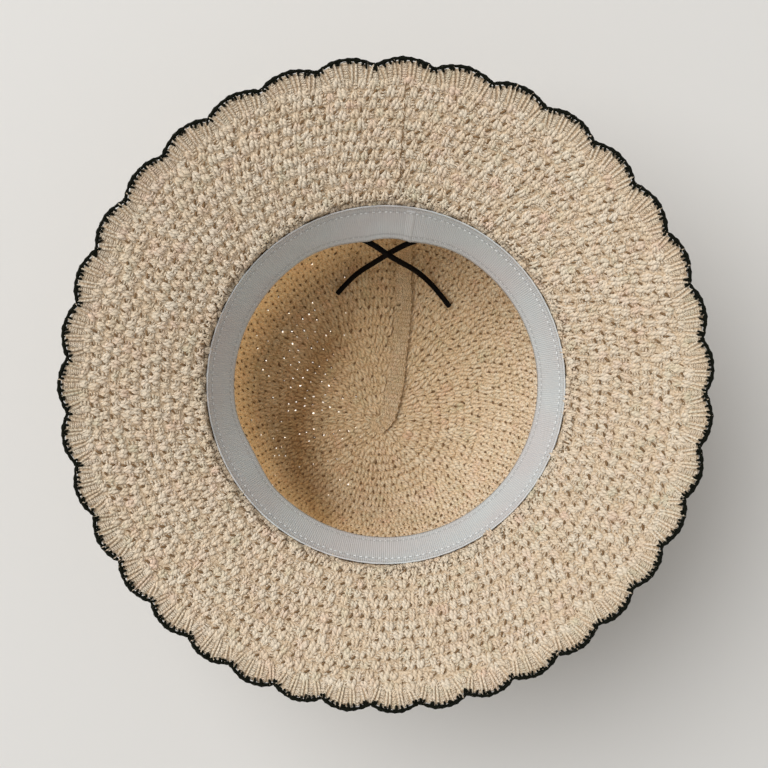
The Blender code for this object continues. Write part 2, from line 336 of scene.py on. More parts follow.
def strawYarn(name, glow=0.0, tone=None):
    finish = Finish(name, 0.85)
    if glow:
        daylight(finish, glow)
    hue = finish.attribute("hue") * 0.3 + finish.noise(85.0, 3.0) * 1.5 - 0.4
    colour = finish.mix(hue.over(0.10, 0.40), straw["sage"], straw["sand"])
    colour = finish.mix(hue.over(0.55, 0.90), colour, straw["blush"])
    pale = finish.attribute("pale") * 0.6 + finish.noise(140.0, 2.0) * 1.2 - 0.4
    colour = finish.mix(pale.over(0.15, 1.05), colour, straw["cream"])
    uv = finish.node("ShaderNodeUVMap", {"uv_map": "strand"}, {})
    twist = (finish.part(uv, "X") * (tau * straw["plies"]) + finish.part(uv, "Y") * (tau * straw["twists"])).sine()
    plyAndShade = 1 - ((1 - twist) * 0.5).power(3.0)
    fibre = finish.noise(2300.0, 2.0)
    crumpleAndShade = finish.noise(1000.0, 2.0)
    # painted shade: darker in the grooves between the plies and where the crumple bumps dip; the fibre noise also
    # darkens where its bumps dip
    colour = finish.shade(colour, (0.80 + 0.20 * plyAndShade) * (0.70 + 0.6 * fibre) * (0.66 + 0.7 * crumpleAndShade))
    # the crown's painted shade and light
    if tone:
        colour = finish.tinted(colour, tone(finish))
    relief = finish.bump(plyAndShade + fibre * 0.5 + crumpleAndShade * 1.5, straw["plyRelief"])
    return finish.finishWith(**{"Base Color": colour, "Normal": relief})


# a sheet in the middle of the knit that closes the view through it; its darker noise patches are painted shade
# between the stitches
def sheetWithPaintedShade(name, glow=0.0, tone=None):
    finish = Finish(name, 0.9)
    if glow:
        daylight(finish, glow)
    weaveAndShade = finish.noise(900.0, 3.0)
    colour = finish.mix(weaveAndShade.over(0.30, 0.60), straw["gapShade"], straw["sand"])
    if tone:
        colour = finish.tinted(colour, tone(finish))
    return finish.finishWith(**{"Base Color": colour, "Normal": finish.bump(weaveAndShade, 0.0006)})


def shadeAndGlowBetweenStitches():
    # painted shade, dark, or a painted glow where the hue attribute says that daylight is behind
    finish = Finish("paintedShadeAndGlowBetweenStitches", 0.95)
    shade = finish.shade(straw["holeShade"], 0.6 + 0.8 * finish.noise(600.0))
    light = finish.shade(daylit["pinhole"], finish.attribute("hue"))
    finish.shader.inputs["Emission Strength"].default_value = daylit["pinholeStrength"]
    return finish.finishWith(**{"Base Color": shade, "Emission Color": light})


def blackYarn(name, colour):
    finish = Finish(name, 0.8)
    finish.shader.inputs["Specular IOR Level"].default_value = 0.08
    fibre = finish.noise(2200.0, 3.0)
    tint = finish.shade(colour, 0.5 + fibre)
    relief = finish.bump(fibre, 0.0003)
    return finish.finishWith(**{"Base Color": tint, "Normal": relief})


def paleThread():
    finish = Finish("paleThread", 0.6)
    return finish.finishWith(**{"Base Color": finish.shade(ribbon["thread"], 0.75 + 0.5 * finish.noise(2500.0, 2.0))})


def grosgrain(name, shine=0.62, tone=1.0):
    finish = Finish(name, shine)
    uv = finish.node("ShaderNodeUVMap", {"uv_map": "strand"}, {})
    along, drop = finish.part(uv, "X"), finish.part(uv, "Y")
    ribAndShade = (along * tau).sine()
    fibre = finish.noise(1500.0, 2.0)
    cloud = finish.noise(28.0, 2.0)
    tint = finish.mix(cloud.over(0.35, 0.65), ribbon["warm"], ribbon["cool"])
    # painted shade: darker along the two stitch lines where the ribbon puckers, and in the troughs of the ribs
    puckerAndShade = 1 - 0.22 * sum((1 - ((drop - line).size() * 26).over(0.0, 1.0)) for line in ribbon["stitchLines"])
    colour = finish.shade(tint, (0.95 + 0.04 * ribAndShade) * (0.94 + 0.08 * fibre) * (0.96 + 0.08 * cloud) * puckerAndShade * tone)
    relief = finish.bump(ribAndShade * 0.5 + fibre * 0.3 + puckerAndShade * 2.0, 0.00015)
    return finish.finishWith(**{"Base Color": colour, "Normal": relief})


# Ways of making pieces


def newPiece(name, mesh, material, slot, *nodes):
    mesh.materials.append(material)
    piece = bpy.data.objects.new(name, mesh)
    bpy.context.scene.collection.objects.link(piece)
    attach(piece, "root")
    if nodes:
        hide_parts(*nodes)
    print("made", name, len(mesh.polygons))
    return piece


def meshOf(bm, name):
    mesh = bpy.data.meshes.new(name)
    bm.to_mesh(mesh)
    bm.free()
    mesh.shade_smooth()
    return mesh


def thicken(piece, thickness, offset=0.0):
    wall = piece.modifiers.new("Wall", "SOLIDIFY")
    wall.thickness = thickness
    wall.offset = offset


def turnedOver(axes, sides=(-1.0, 1.0, -1.0)):
    return axes * np.array(sides)[:, None]


def bentGrain(bm, spine, thickness, sides=6, rings=4, plump=0.45):
    # a rounded length of yarn with closed ends, from a sphere whose axis is bent along the spine
    made = bmesh.ops.create_uvsphere(bm, u_segments=sides, v_segments=rings, radius=1.0, calc_uvs=True)
    spine = np.array(spine, float)
    stations = np.linspace(0, 1, len(spine))

    def onSpine(share):
        return np.array([np.interp(share, stations, spine[:, axis]) for axis in range(3)])

    for vertex in made["verts"]:
        share = math.acos(max(-1.0, min(1.0, vertex.co.z))) / math.pi
        vertex.co *= max(0.05, math.sin(share * math.pi)) ** -plump  # full up to the ends
        ahead = onSpine(min(1, share + 0.1)) - onSpine(max(0, share - 0.1))
        side = unit(np.cross(ahead, (0.0, 0.0, 1.0)) + 1e-9)
        above = unit(np.cross(side, ahead))
        spot = onSpine(share) + (side * vertex.co.x + above * vertex.co.y) * thickness
        vertex.co = Vector(spot)


def stitchShape(*grains, sides=6, rings=4, sorts=6, uneven=0.16, plump=0.45):
    # a few sorts of one stitch, each bent a little otherwise, given in millimetres
    shape = {"points": []}
    for _ in range(sorts):
        bm = bmesh.new()
        bm.loops.layers.uv.new("strand")
        for spine, thickness in grains:
            bent = np.array(spine) + uneven * dice.standard_normal((len(spine), 3)) * (1.0, 1.0, 0.6)
            bentGrain(bm, bent, thickness * (1 + 0.4 * uneven * dice.standard_normal()), sides, rings, plump)
        layer = bm.loops.layers.uv.active
        bm.verts.index_update()
        shape["points"].append([vertex.co * 0.001 for vertex in bm.verts])
        shape["faces"] = [[vertex.index for vertex in face.verts] for face in bm.faces]
        shape["uv"] = np.array([loop[layer].uv for face in bm.faces for loop in face.loops])
        bm.free()
    shape["points"] = np.array(shape["points"])
    return shape


def scatter(name, shape, places, axes, tints, material, slot, *nodes):
    # many copies of one small shape, joined in one mesh
    sorts, size = shape["points"].shape[:2]
    count = len(places)
    picked = shape["points"][dice.integers(sorts, size=count)]
    points = places[:, None, :] + np.einsum("mnk,mkj->mnj", picked, axes)
    faces = [[index + size * copy for index in face] for copy in range(count) for face in shape["faces"]]
    mesh = bpy.data.meshes.new(name)
    mesh.from_pydata(points.reshape(-1, 3).tolist(), [], faces)
    mesh.shade_smooth()
    layer = mesh.uv_layers.new(name="strand")
    shifts = dice.random((count, 1, 2)) * (0.0, 1.0)
    layer.data.foreach_set("uv", (shape["uv"][None] + shifts).astype(np.float32).ravel())
    for key, values in zip(("hue", "pale"), tints):
        attribute = mesh.attributes.new(key, "FLOAT", "POINT")
        attribute.data.foreach_set("value", np.repeat(values, size).astype(np.float32))
    return newPiece(name, mesh, material, slot, *nodes)


def driftAlong(count, reach):
    # a soft random value along a round of stitches, from 0 to 1
    wide = dice.random(count + 4 * reach)
    weights = np.hanning(2 * reach + 3)[1:-1]
    soft = np.convolve(wide, weights / weights.sum(), "same")[2 * reach : 2 * reach + count]
    soft = (soft - 0.5) / max(soft.std(), 1e-6) * 0.2 + 0.5
    return np.clip(soft + 0.07 * dice.standard_normal(count), 0, 1)


def skinMesh(name, skin, turns, alongs, thickness, material, slot, *nodes, closeTip=False):
    # a closed round shell through the middle of the knit
    columns, rows = len(turns), len(alongs)
    bm = bmesh.new()
    bmesh.ops.create_grid(bm, x_segments=columns, y_segments=rows - 1, size=0.5)
    turnGrid, alongGrid = np.meshgrid(turns, alongs, indexing="ij")
    places, _ = framesOn(skin, turnGrid, alongGrid)
    for vertex in bm.verts:
        column = round((vertex.co.x + 0.5) * columns) % columns
        row = round((vertex.co.y + 0.5) * (rows - 1))
        vertex.co = Vector(places[column, row])
    bmesh.ops.remove_doubles(bm, verts=bm.verts, dist=0.000001)
    if closeTip:
        rim = [edge for edge in bm.edges if edge.is_boundary and edge.verts[0].co.z < hat["crownDepth"] / 2]
        bmesh.ops.holes_fill(bm, edges=rim, sides=0)
    thicken(newPiece(name, meshOf(bm, name), material, slot, *nodes), thickness)


# Camera and light

view = {"height": 0.805, "lens": 64.17, "shift": (-2 / 768, 0.6 / 768)}
studio = {
    "keyPlace": (-2.3, 1.5, 3.8),
    "keyAim": (0.0, 0.0, 0.05),
    "keySize": 4.4,
    "keyPower": 184.0,
    "sky": 0.46,
    "skyColour": (1.0, 0.985, 0.96, 1),
    "floorSize": 3.0,
    "floorColour": (0.72, 0.71, 0.69, 1),
}


def setStage():
    lens = bpy.data.cameras.new("camera")
    lens.lens = view["lens"]
    lens.sensor_width = 36.0
    lens.shift_x, lens.shift_y = view["shift"]
    lens.clip_start = 0.01
    camera = bpy.data.objects.new("camera", lens)
    camera.location = (0.0, 0.0, view["height"])
    bpy.context.scene.collection.objects.link(camera)
    bpy.context.scene.camera = camera
    lamp = bpy.data.lights.new("key", "AREA")
    lamp.shape = "DISK"
    lamp.size = studio["keySize"]
    lamp.energy = studio["keyPower"]
    key = bpy.data.objects.new("key", lamp)
    key.location = studio["keyPlace"]
    key.rotation_mode = "QUATERNION"
    key.rotation_quaternion = (Vector(studio["keyPlace"]) - Vector(studio["keyAim"])).to_track_quat("Z", "Y")
    bpy.context.scene.collection.objects.link(key)
    world = bpy.data.worlds.new("studio")
    world.use_nodes = True
    sky = world.node_tree.nodes["Background"].inputs
    sky["Color"].default_value = studio["skyColour"]
    sky["Strength"].default_value = studio["sky"]
    bpy.context.scene.world = world
    bpy.context.scene.view_settings.view_transform = "Standard"
    bm = bmesh.new()
    bmesh.ops.create_grid(bm, x_segments=1, y_segments=1, size=studio["floorSize"])
    mesh = meshOf(bm, "floor")
    finish = Finish("paleFloor", 0.9)
    mesh.materials.append(finish.finishWith(**{"Base Color": studio["floorColour"]}))
    floor = bpy.data.objects.new("floor", mesh)
    bpy.context.scene.collection.objects.link(floor)


setStage()
strawFinish = strawYarn("strawKnit")
crownFinish = strawYarn("strawKnitCrown", 1.0, crownPaintedShading)
gapShadeFinish = shadeAndGlowBetweenStitches()
sheetShadeFinish = sheetWithPaintedShade("strawSheetWithPaintedShade")
crownSheetShadeFinish = sheetWithPaintedShade("crownSheetWithPaintedShade", 0.6, crownPaintedShading)
crochetFinish = blackYarn("blackCrochet", (0.006, 0.007, 0.004, 1))
cordFinish = blackYarn("blackCord", (0.004, 0.0035, 0.0035, 1))

# Drawcord

drawcord = {
    "radius": 0.0015,
    "hem": 0.0045,  # from the ribbon's free edge to the cord's middle
    "sides": 16,
    "ringStep": 0.0006,
    "hemRingStep": 0.0012,
    "braidStep": 0.0036,  # length of one turn of the braid's strands
    "braidRelief": 0.07,
    "endTurns": (math.radians(24), math.radians(342)),
    "hemColumns": 60,  # of the whole round
    "softening": 14,  # passes over the points of a free end
    "easing": 60,  # passes over a tube's middle line
}
cordRightRoute = [
    (-0.0180, 0.0800, 0.0824),
    (-0.0130, 0.0789, 0.0803),
    (-0.0088, 0.0764, 0.0775),
    (0.0005, 0.0700, 0.0680),
    (0.0094, 0.0672, 0.0460),
    (0.0200, 0.0635, 0.0200),
    (0.0284, 0.0563, 0.0108),
    (0.0343, 0.0494, 0.0091),
    (0.0370, 0.0454, 0.0080),
]
cordLeftRoute = [
    (0.0268, 0.0788, 0.0822),
    (0.0210, 0.0792, 0.0803),
    (0.0165, 0.0775, 0.0779),
    (0.0115, 0.0753, 0.0740),
    (0.0058, 0.0735, 0.0640),
    (0.0005, 0.0717, 0.0500),
    (-0.0096, 0.0675, 0.0270),
    (-0.0179, 0.0641, 0.0138),
    (-0.0238, 0.0581, 0.0088),
    (-0.0283, 0.0531, 0.0066),
]

# Sweatband

ribbon = {
    "width": 0.030,
    "thickness": 0.0008,
    "lip": 0.0012,
    "exitLift": 0.0024,
    "exitTurns": (math.radians(-6.7), math.radians(9.5)),
    "ribPitch": 0.0011,
    "stitchLines": (0.23, 0.86),  # drops
    "stitchLifts": (0.0001, -0.00018),
    "stitchCount": 172,
    "jointTurn": math.radians(8.3),
    "jointWidth": 0.0048,
    "lap": 0.0001,  # how far the joint stands proud
    "warm": (0.685, 0.672, 0.672, 1),
    "cool": (0.665, 0.698, 0.705, 1),
    "thread": (0.84, 0.85, 0.84, 1),
}
ribbonLeans = [  # turn in degrees, share of its width
    (0, 0.505), (34, 0.385), (90, 0.355), (180, 0.335), (225, 0.345), (243, 0.410), (262, 0.345), (325, 0.385),
]
ribbonDrops = [1.00, 0.56, 0.11, 0.00]
ribbonLeanShares = [1.00, 0.48, 0.00, 0.00]


def ribbonSkin(turn, drop):
    # the back of the ribbon: drop is 0 at the sewn edge and 1 at the free edge
    lean = ribbon["width"] * blended(ribbonLeans, turn)
    fall = np.sqrt(ribbon["width"] ** 2 - lean**2)
    side = (turn + math.pi) % tau - math.pi
    low, high = ribbon["exitTurns"]
    lifted = np.sin(math.pi * np.clip((side - low) / (high - low), 0, 1)) ** 0.6
    shown = 1 - lifted * ribbon["exitLift"] / ribbon["width"] * drop
    leanShare = np.interp(drop, ribbonDrops[::-1], ribbonLeanShares[::-1])
    radius = hat["headRadius"] - hat["clearance"] - lean * leanShare * shown
    return around(turn, radius, hat["crownDepth"] + ribbon["lip"] - fall * drop * shown)


def smoothRoute(before, points, spacing):
    # points at an even spacing along a Catmull-Rom curve that comes from the point before
    points = [np.array(point, float) for point in points]
    ends = [np.array(before, float), *points, 2 * points[-1] - points[-2]]
    fine = [points[0]]
    for a, b, c, d in zip(ends, ends[1:], ends[2:], ends[3:]):
        for t in np.arange(1, 21) / 20:
            square, cube = 2 * a - 5 * b + 4 * c - d, 3 * b - a - 3 * c + d
            fine.append(0.5 * (2 * b + (c - a) * t + square * t**2 + cube * t**3))
    fine = np.array(fine)
    return evenPoints(fine, max(2, round(walkedAlong(fine)[-1] / spacing)))


def softened(line, passes):
    for _ in range(passes):
        line[1:-1] = (line[:-2] + 2 * line[1:-1] + line[2:]) / 4
    return line


def braidedTube(name, path, ringStep, material, slot, *nodes):
    # a round braid with flat ends
    radius, sides = drawcord["radius"], drawcord["sides"]
    length = walkedAlong(path)[-1]
    count = round(length / ringStep)
    line = softened(evenPoints(path, count), drawcord["easing"])
    ahead = unit(np.gradient(line, axis=0))
    side = np.zeros_like(line)
    last = unit(np.cross(ahead[0], (0.0, 0.1, 1.0)))
    for index, direction in enumerate(ahead):
        last = unit(last - direction * (last @ direction))
        side[index] = last
    above = np.cross(ahead, side)
    bm = bmesh.new()
    layer = bm.loops.layers.uv.new("strand")
    rings = [bmesh.ops.create_circle(bm, segments=sides, radius=radius, cap_ends=True)["verts"]]
    edges = list({edge for vertex in rings[0] for edge in vertex.link_edges})
    for _ in range(count):
        made = bmesh.ops.extrude_edge_only(bm, edges=edges)["geom"]
        edges = [item for item in made if isinstance(item, bmesh.types.BMEdge)
                 and all(vertex in made for vertex in item.verts)]
        rings.append([item for item in made if isinstance(item, bmesh.types.BMVert)])
        edges = [edge for edge in edges if edge.is_boundary]
    bmesh.ops.holes_fill(bm, edges=edges, sides=0)
    for index, ring in enumerate(rings):
        turns = tau * index / count * length / drawcord["braidStep"]
        for vertex in ring:
            angle = math.atan2(vertex.co.y, vertex.co.x)
            weaveAndShade = math.sin(4 * angle + 2 * turns) * math.sin(4 * angle - 2 * turns)
            swell = radius * (1 + drawcord["braidRelief"] * weaveAndShade) * (0.93 if index in (0, count) else 1.0)
            spot = line[index] + (side[index] * math.cos(angle) + above[index] * math.sin(angle)) * swell
            vertex.co = Vector(spot)
    for face in bm.faces:
        for loop in face.loops:
            loop[layer].uv = (0.5, 0.5)
    bmesh.ops.recalc_face_normals(bm, faces=bm.faces)
    return newPiece(name, meshOf(bm, name), material, slot, *nodes)


def buildDrawcord():
    columnTurn = tau / drawcord["hemColumns"]
    first, final = (round(turn / columnTurn) for turn in drawcord["endTurns"])
    turns = np.arange(first, final + 1) * columnTurn
    edge = ribbonSkin(turns, np.ones_like(turns))
    upward = unit(ribbonSkin(turns, np.full_like(turns, 0.56)) - edge)
    outward = np.cross(upward, around(turns + math.pi / 2, 1.0, 0.0))
    loop = edge + upward * drawcord["hem"] + outward * (hat["clearance"] + drawcord["radius"])
    hemPath = smoothRoute(loop[0] * 2 - loop[1], loop, 0.003)
    braidedTube("drawcord_hem", hemPath, drawcord["hemRingStep"], cordFinish, "black_cord", "drawcord_loop")
    ends = [
        ("drawcord_right", "drawcord_end_right", cordRightRoute, loop[-1], loop[-2]),
        ("drawcord_left", "drawcord_end_left", cordLeftRoute, loop[0], loop[1]),
    ]
    for name, node, route, last, before in ends:
        start = last + unit(last - before) * hat["clearance"]
        path = softened(smoothRoute(before, [start, *route], 0.0032), drawcord["softening"])
        piece = braidedTube(name, path, drawcord["ringStep"], cordFinish, "black_cord", node)


ribbonFinish = grosgrain("grosgrainRibbon")
foldFinish = grosgrain("grosgrainFold", 0.5, 1.10)
threadFinish = paleThread()
buildDrawcord()

# Knitting

# Strands of single stitches: across, outwards and up, in millimetres
leafLegs = [  # of the brim's inside: they close outwards
    [(-0.95, -3.1, -0.1), (-1.05, -1.5, 0.30), (-0.90, 0.2, 0.50), (-0.55, 1.9, 0.3), (-0.15, 3.5, -0.3)],
    [(0.70, -3.0, -0.1), (0.90, -1.4, 0.25), (0.85, 0.2, 0.40), (0.65, 1.8, 0.2), (0.35, 3.3, -0.3)],
]
plumpLeft = [(-1.30, -3.0, -0.1), (-1.30, -1.5, 0.3), (-1.20, 0.0, 0.5), (-0.95, 1.5, 0.4), (-0.70, 2.9, -0.2)]
plumpRight = [(1.20, -3.0, -0.1), (1.30, -1.5, 0.3), (1.25, 0.0, 0.5), (1.00, 1.5, 0.4), (0.70, 2.9, -0.2)]
purlBars = [[(-1.4, y - 0.35, 0.1), (-0.5, y - 0.1, 0.45), (0.5, y + 0.1, 0.45), (1.4, y + 0.35, 0.1)]
            for y in (-1.7, 0.0, 1.7)]
# a dark mark of painted shade in a gap between stitches
gapShadeSpine = [(0, -1.0, 0), (0, -0.5, 0), (0, 0.5, 0), (0, 1.0, 0)]

knitting = {
    "roundPitch": 0.00475,  # between rounds
    "stitchPitch": 0.0050,  # between stitches of a round
    "firstRound": 0.09195,  # radius
    "brimCounts": [120, 120, 120, 127, 133, 133, 138, 138, 146, 146, 154, 154, 160],
    "crownRounds": 34,
    "crownPitch": 0.00485,
    "lean": math.radians(9),
    "unevenTurn": math.radians(9.6),
    "uneven": 0.12,
    "sheet": 0.0005,  # the thin shell between the two layers of stitches
    "outsideLift": -0.0005,
    "pressedBelow": 0.0025,  # the outside is flat where the crown lies
    "pressed": 0.45,
    "gapShadesEnd": 0.82,  # reach, where the rib starts
}


def brimRounds():
    turns, alongs, pitches, hues, pales = [], [], [], [], []
    for row, count in enumerate(knitting["brimCounts"]):
        radius = knitting["firstRound"] + (row + 0.55 * (row == 0)) * knitting["roundPitch"]
        index = np.arange(count) + 0.5 * (row % 2) + 0.25 + 0.09 * dice.standard_normal(count)
        turn = hat["brimSeamTurn"] + tau * index / count
        reach = (radius - outerRadius) / hat["brimReach"] + 0.008 * dice.standard_normal(count)
        turns.append(turn)
        alongs.append(reach)
        pitches.append(np.full(count, tau * radius / count))
        hues.append(dice.random(count))
        pales.append(dice.random(count))
    return [np.concatenate(items) for items in (turns, alongs, pitches, hues, pales)]


def spun(axes, angles):
    # turned about the third axis
    cosine, sine = np.cos(angles)[:, None], np.sin(angles)[:, None]
    first = axes[:, 0] * cosine - axes[:, 1] * sine
    second = axes[:, 0] * sine + axes[:, 1] * cosine
    return np.stack([first, second, axes[:, 2]], 1)


def scaled(axes, across, outward, up):
    return axes * np.stack(np.broadcast_arrays(across, outward, up), -1)[:, :, None]


def paintedGapShades(name, skin, turn, along, lift, long, wide, slant, lit, finish):
    # dark marks of painted shade in the gaps between stitches, a few of them with a painted glow of daylight behind
    count = len(turn)
    places, axes = framesOn(skin, turn, along, lift)
    axes = spun(axes, slant + 0.35 * dice.standard_normal(count))
    size = np.clip(1 + 0.28 * dice.standard_normal(count), 0.35, 1.6)
    axes = scaled(axes, wide * size, long * size, 0.5)
    scatter(name, gapShadeShape, places, axes, (lit, lit), finish, "straw_knit")


def knitRounds(name, skin, stitches, shape, inside=True, finish=strawFinish, relief=1.0):
    turn, along, pitch, rowPitch, hue, pale = stitches
    count = len(turn)
    places, axes = framesOn(skin, turn, along, 0.0 if inside else knitting["outsideLift"])
    if not inside:
        axes = turnedOver(axes)
    axes = spun(axes, knitting["lean"] + knitting["unevenTurn"] * dice.standard_normal(count))
    loose = 1 + knitting["uneven"] * dice.standard_normal((3, count))
    if not inside:
        loose[2] = np.where(places[:, 2] < knitting["pressedBelow"], knitting["pressed"], loose[2])
    wide, long = pitch / knitting["stitchPitch"] * loose[0], rowPitch / knitting["roundPitch"] * loose[1]
    axes = scaled(axes, wide, long, loose[2] * relief)
    scatter(name, shape, places, axes, (hue, pale), finish, "straw_knit")


knitStitch = stitchShape(*[(leg, 1.14) for leg in leafLegs], sides=6, rings=5, uneven=0.20, plump=0.28)
plainStitch = stitchShape((plumpLeft, 1.25), (plumpRight, 1.25), sides=4, rings=3)
crownStitch = stitchShape((plumpLeft, 1.25), (plumpRight, 1.25), sides=5, rings=4, uneven=0.14)
barStitch = stitchShape(*[(bar, 0.62) for bar in purlBars], sides=5, rings=3)
gapShadeShape = stitchShape((gapShadeSpine, 0.5), sides=4, rings=3, uneven=0.08)


def buildBrim():
    reaches = np.linspace(0.0, 1.0, 19)
    columns = hat["scallops"] * 8
    turns = np.arange(columns) * tau / columns
    skinMesh("brim_knit", brimSkin, turns, reaches, knitting["sheet"], sheetShadeFinish, "straw_knit", "brim")
    turn, reach, pitch, hue, pale = brimRounds()
    others = reach, pitch, knitting["roundPitch"], hue, pale
    knitRounds("brim_stitches_inside", brimSkin, (turn, *others), knitStitch)
    half = turn + pitch / 2 / (outerRadius + hat["brimReach"] * reach)
    knitRounds("brim_purls_inside", brimSkin, (half, *others), barStitch)
    spots = half + 0.03 * pitch / outerRadius * dice.standard_normal(len(half))
    outwards = 0.0019 / hat["brimReach"]
    inner = reach < knitting["gapShadesEnd"]
    spots, middle = spots[inner], reach[inner] + outwards
    paintedGapShades("brim_gap_shade", brimSkin, spots, middle, 0.00100, 1.2, 0.9, 0.8, 0 * middle, gapShadeFinish)
    # dark marks of painted shade along the brim's seam
    line = np.arange(0.03, 0.86, 0.030)
    seamTurn = hat["brimSeamTurn"] + 0.0012 * dice.standard_normal(len(line))
    paintedGapShades("brim_seam_shade", brimSkin, seamTurn, line, 0.00165, 1.4, 0.5, 0.0, 0 * line, gapShadeFinish)
    knitRounds("brim_stitches_outside", brimSkin, (half, *others), plainStitch, inside=False)


def buildCrown():
    reaches = np.linspace(0.02, 1.0, 40)
    turns = np.arange(crownColumns) * tau / crownColumns

    def byShare(turn, share):
        return crownSkin(turn, crownRun(turn, np.clip(share, 0, 1)))

    skinMesh("crown_knit", byShare, turns, reaches, knitting["sheet"], crownSheetShadeFinish, "straw_knit", "crown",
             closeTip=True)
    rounds = []
    sampleTurns = np.linspace(0, tau, 61)
    for row in range(knitting["crownRounds"]):
        share = (row + 0.6) / knitting["crownRounds"]
        walked = walkedAlong(byShare(sampleTurns, np.full(61, share)))
        length = walked[-1]
        count = max(4, 4 * round(length / knitting["crownPitch"] / 4))
        index = np.arange(count) + 0.5 * (row % 2) + 0.08 * dice.standard_normal(count)
        turn = np.interp((index / count) % 1, walked / length, sampleTurns)
        profile = np.interp(turn / tau * crownColumns, np.arange(crownColumns + 1), crownLengths[:, -1])
        rounds.append([turn, share + 0.002 * dice.standard_normal(count), np.full(count, length / count),
                       profile / knitting["crownRounds"], dice.random(count), dice.random(count)])
    turn, share, pitch, rowPitch, hue, pale = [np.concatenate(items) for items in zip(*rounds)]
    spots = byShare(turn, share)
    clear = np.array([seamDistance(spot) > seam["clear"] for spot in spots])
    stitches = [values[clear] for values in (turn, share, pitch, rowPitch, hue, pale)]
    knitRounds("crown_stitches_inside", byShare, stitches, crownStitch, finish=crownFinish, relief=0.92)
    turn, share, pitch = stitches[:3]
    spots = spots[clear]
    half = turn + pitch / 2 / np.maximum(0.006, np.hypot(spots[:, 0], spots[:, 1]))
    outwards = share + 0.30 / knitting["crownRounds"]
    (aside, width), (ahead, length) = daylit["thinPart"]
    thinPart = np.exp(-(((spots[:, 0] - aside) / width) ** 2) - ((spots[:, 1] - ahead) / length) ** 2)
    lit = (dice.random(len(turn)) < 0.95 * thinPart) * (0.4 + 0.6 * dice.random(len(turn)))
    paintedGapShades("crown_gap_shade", byShare, half, outwards, 0.00080, 1.00, 0.95, 0.5, 0 * lit, gapShadeFinish)
    # the pinholes glow: painted light where daylight shines through the knit
    bright = lit > 0
    paintedGapShades("crown_pinhole_glow", byShare, half[bright], outwards[bright], 0.00130, 0.46, 0.50, 0.0, lit[bright],
              gapShadeFinish)
    knitRounds("crown_stitches_outside", byShare, stitches, plainStitch, inside=False)


# The pressed seam inside the crown

seam = {
    "width": 0.009,
    "thickness": 0.0012,
    "offset": 0.0105,  # to the side of the hat's axis
    "top": 0.72,  # climb
    "bend": 0.42,
    "edge": 0.5,  # share of its length on the flat top
    "clear": 0.0052,  # of other stitches, from its middle
    "stations": 120,
    "columns": 12,
    "wander": 0.0004,  # of its one edge
    "slope": 0.0009,
    "stitchSize": (0.48, 0.48, 0.45),
}


def seamCentre(share):
    zero = np.zeros(1)
    if share <= seam["edge"]:
        back = crownSide(zero, zero)[0][1]
        tip = hat["tip"]
        along = share / seam["edge"]
        aside = tip[0] + (seam["offset"] - tip[0]) * along ** seam["bend"]
        return np.array((aside, tip[1] + (back - tip[1]) * along, 0.0))
    climb = seam["top"] * (share - seam["edge"]) / (1 - seam["edge"])
    radius = crownSide(zero, zero + climb)[0][1]
    return crownSide(zero + math.asin(seam["offset"] / radius), zero + climb)[0]


seamLine = np.array([seamCentre(share) for share in np.linspace(0, 1, 61)])


def seamDistance(spot):
    return np.linalg.norm(seamLine - spot, axis=1).min()


def seamAhead(share):
    # along the seam, and from the knit towards the hollow
    ahead = Vector(seamCentre(min(1, share + 0.01)) - seamCentre(max(0, share - 0.01)))
    return ahead, Vector((0.0, -ahead.z, ahead.y)).normalized()


def pressedKnit():
    finish = Finish("pressedSeam", 0.85)
    daylight(finish, 0.6)
    weaveAndShade = finish.noise(800.0, 3.0)
    # the dark colour in the dips of the weave noise is painted shade between the fine stitches
    colour = finish.mix(weaveAndShade.over(0.25, 0.72), straw["gapShade"], straw["sand"])
    colour = finish.tinted(colour, crownPaintedShading(finish))
    return finish.finishWith(**{"Base Color": colour, "Normal": finish.bump(weaveAndShade, 0.0007)})


